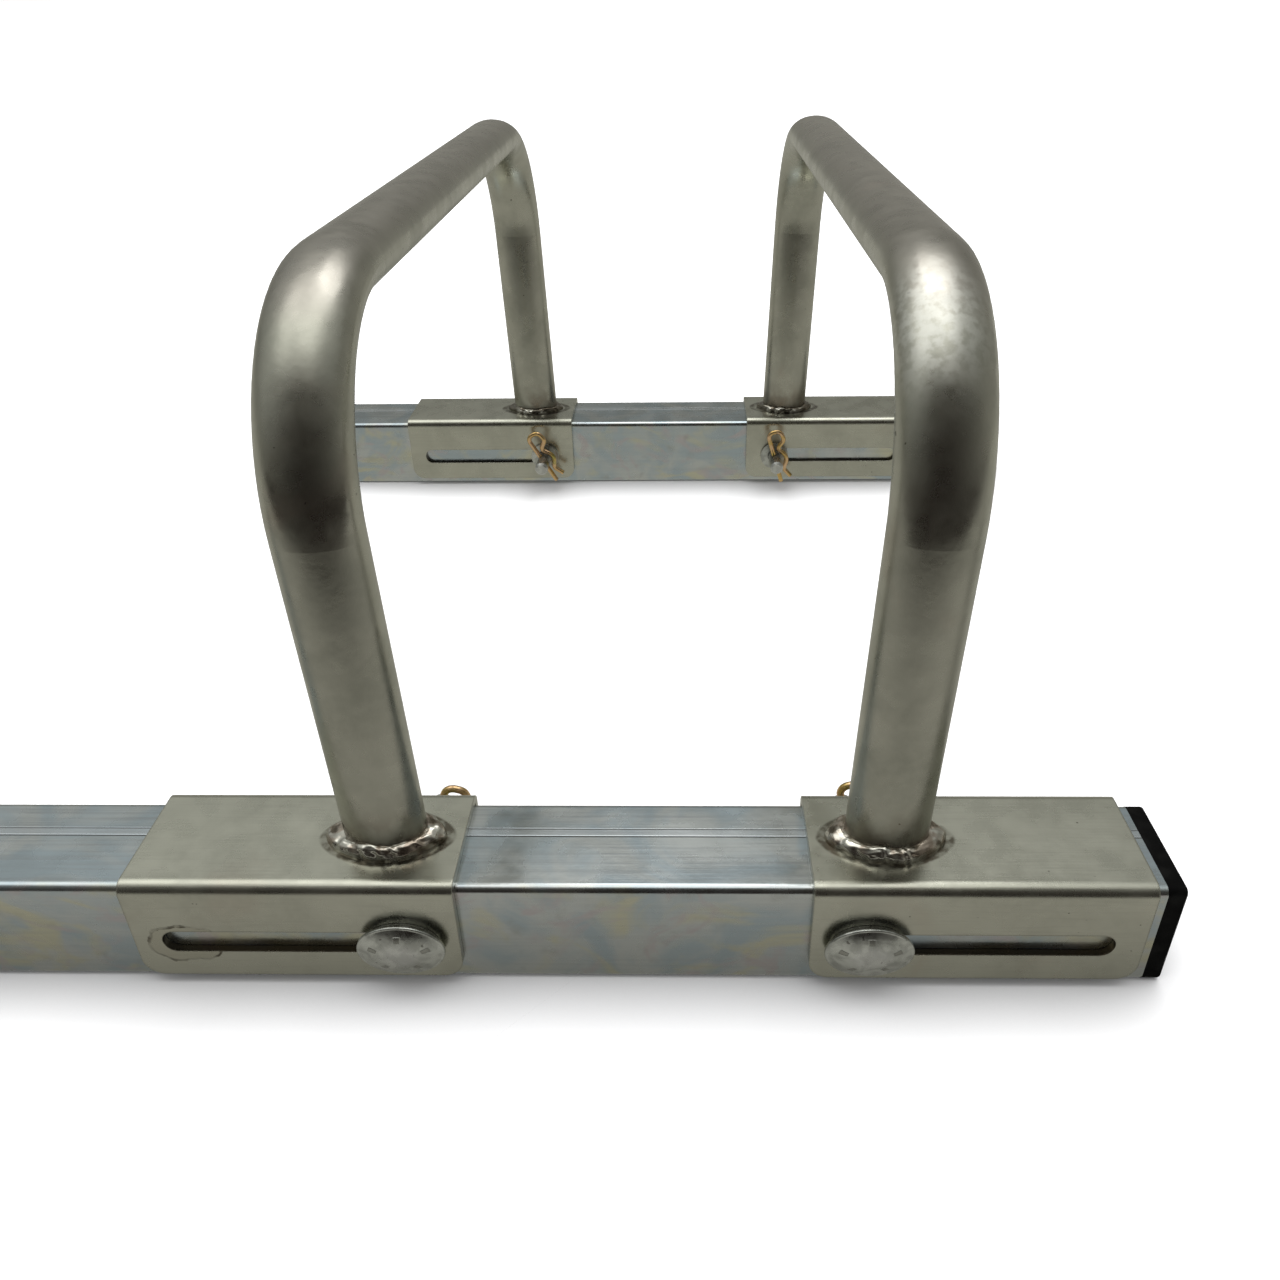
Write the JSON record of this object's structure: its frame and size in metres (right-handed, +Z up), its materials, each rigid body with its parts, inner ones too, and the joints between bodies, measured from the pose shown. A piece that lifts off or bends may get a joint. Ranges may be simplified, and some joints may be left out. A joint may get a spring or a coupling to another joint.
{
  "type": "adjustable stile bracket",
  "caption": "Adjustable bracket: upright tube hoops on slotted sleeves slide along two square cross bars to grip a ladder stile or wheel between them; pins and clips keep the sleeves on.",
  "frame": {"origin": "on the underside of the front bar, on its centre line, midway between the two hoops", "axes": "+X along the bars to the right, +Y from the front bar to the rear bar, +Z up"},
  "size_m": [0.5391, 0.3436, 0.1637],
  "materials": {
    "bar_zinc": "blue-passivated zinc plate, satin",
    "bracket_zinc": "zinc plate, satin",
    "weld_metal": "rippled bright weld metal",
    "fastener_zinc": "bright zinc plate",
    "clip_zinc": "yellow-passivated zinc plate",
    "cap_plastic": "matt black"
  },
  "bodies": {
    "bars": {"front_bar": "bar_zinc", "rear_bar": "bar_zinc", "end_cap_front_left": "cap_plastic", "end_cap_front_right": "cap_plastic", "end_cap_rear_left": "cap_plastic", "end_cap_rear_right": "cap_plastic", "pin_front_left": "fastener_zinc", "outer_washer_front_left": "fastener_zinc", "inner_washer_front_left": "fastener_zinc", "spring_clip_front_left": "clip_zinc", "pin_rear_left": "fastener_zinc", "outer_washer_rear_left": "fastener_zinc", "inner_washer_rear_left": "fastener_zinc", "spring_clip_rear_left": "clip_zinc", "pin_front_right": "fastener_zinc", "outer_washer_front_right": "fastener_zinc", "inner_washer_front_right": "fastener_zinc", "spring_clip_front_right": "clip_zinc", "pin_rear_right": "fastener_zinc", "outer_washer_rear_right": "fastener_zinc", "inner_washer_rear_right": "fastener_zinc", "spring_clip_rear_right": "clip_zinc"},
    "hoop_unit_left": {"hoop_left": "bracket_zinc", "weld_bead_front_left": "weld_metal", "sleeve_front_left": "bracket_zinc", "weld_bead_rear_left": "weld_metal", "sleeve_rear_left": "bracket_zinc"},
    "hoop_unit_right": {"hoop_right": "bracket_zinc", "weld_bead_front_right": "weld_metal", "sleeve_front_right": "bracket_zinc", "weld_bead_rear_right": "weld_metal", "sleeve_rear_right": "bracket_zinc"}
  },
  "joints": [
    {"name": "hoop_left_slide", "type": "slide", "parent": "bars", "child": "hoop_unit_left", "axis": [1, 0, 0], "range_m": [0, 0.04]},
    {"name": "hoop_right_slide", "type": "slide", "parent": "bars", "child": "hoop_unit_right", "axis": [-1, 0, 0], "range_m": [0, 0.04]}
  ]
}
